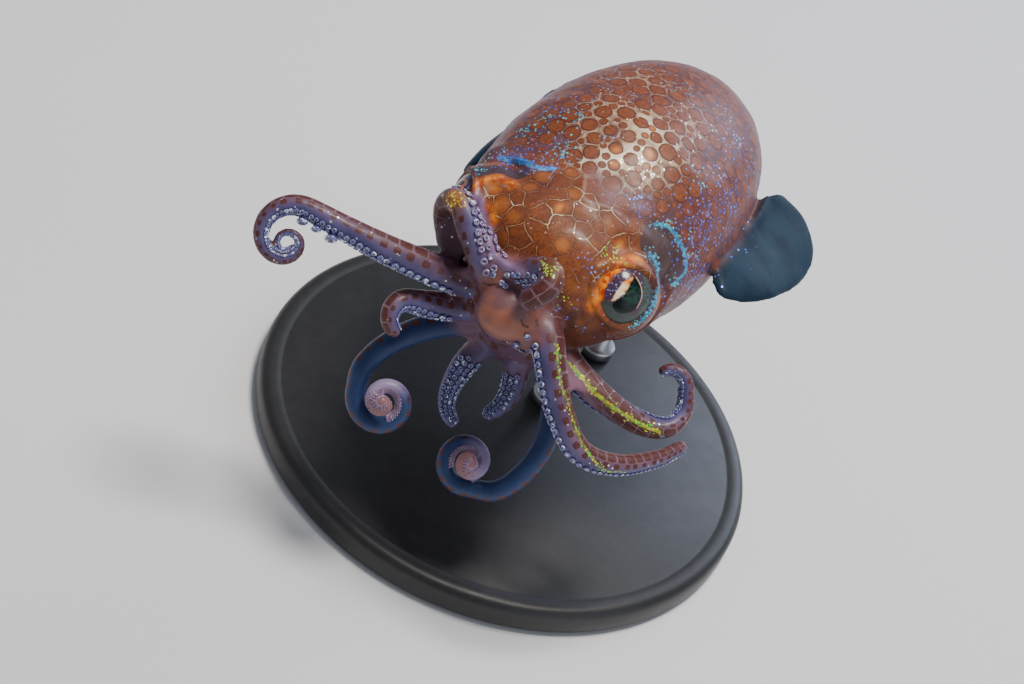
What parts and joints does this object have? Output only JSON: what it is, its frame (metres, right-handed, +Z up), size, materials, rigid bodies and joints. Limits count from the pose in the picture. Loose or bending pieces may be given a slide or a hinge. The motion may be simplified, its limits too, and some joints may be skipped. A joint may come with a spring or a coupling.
{
  "type": "bobtail squid model on a display stand",
  "caption": "Life-size still model of a small bobtail squid with a rounded mantle, two round fins, eight arms and two coiled tentacles, held on a round display stand.",
  "frame": {"origin": "middle of the underside of the stand's base", "axes": "+Z up, the squid is level and faces -Y, its left side is towards +X"},
  "size_m": [0.048, 0.0519, 0.0395],
  "materials": {
    "mantle_skin": "wet-looking skin with orange-brown spots over a pale ground",
    "head_skin": "wet-looking skin with closely packed orange-brown spots",
    "collar_skin": "smooth greyish see-through looking skin",
    "funnel_skin": "smooth pale skin",
    "mouth_skin": "smooth pinkish orange skin",
    "arm_skin": "lilac grey skin with brown blotches",
    "tentacle_skin": "smooth blue violet skin",
    "fin_skin": "thin blue grey skin",
    "eye": "clear glossy eye over a gold and dark green iris",
    "stand_base": "satin black",
    "stand_rod": "brushed"
  },
  "bodies": {
    "root": {"arm_left_1_outer": "arm_skin", "arm_left_2_inner": "arm_skin", "arm_left_2_mid": "arm_skin", "arm_left_2_tip": "arm_skin", "arm_left_3_mid": "arm_skin", "arm_left_3_tip": "arm_skin", "arm_left_4_outer": "arm_skin", "arm_right_1_mid": "arm_skin", "arm_right_1_tip": "arm_skin", "arm_right_2_inner": "arm_skin", "arm_right_2_mid": "arm_skin", "arm_right_2_tip": "arm_skin", "arm_right_3_outer": "arm_skin", "arm_right_4_outer": "arm_skin", "collar_left": "collar_skin", "collar_right": "collar_skin", "crown": "arm_skin", "eye_left": "eye", "eye_right": "eye", "fin_left": "fin_skin", "fin_right": "fin_skin", "funnel": "funnel_skin", "head": "head_skin", "mantle": "mantle_skin", "mouth_bulb": "mouth_skin", "stand_base": "stand_base", "stand_rod_front": "stand_rod", "stand_rod_rear": "stand_rod", "tentacle_left_mid": "tentacle_skin", "tentacle_left_tip": "tentacle_skin", "tentacle_right_mid": "tentacle_skin", "tentacle_right_tip": "tentacle_skin"}
  },
  "joints": []
}
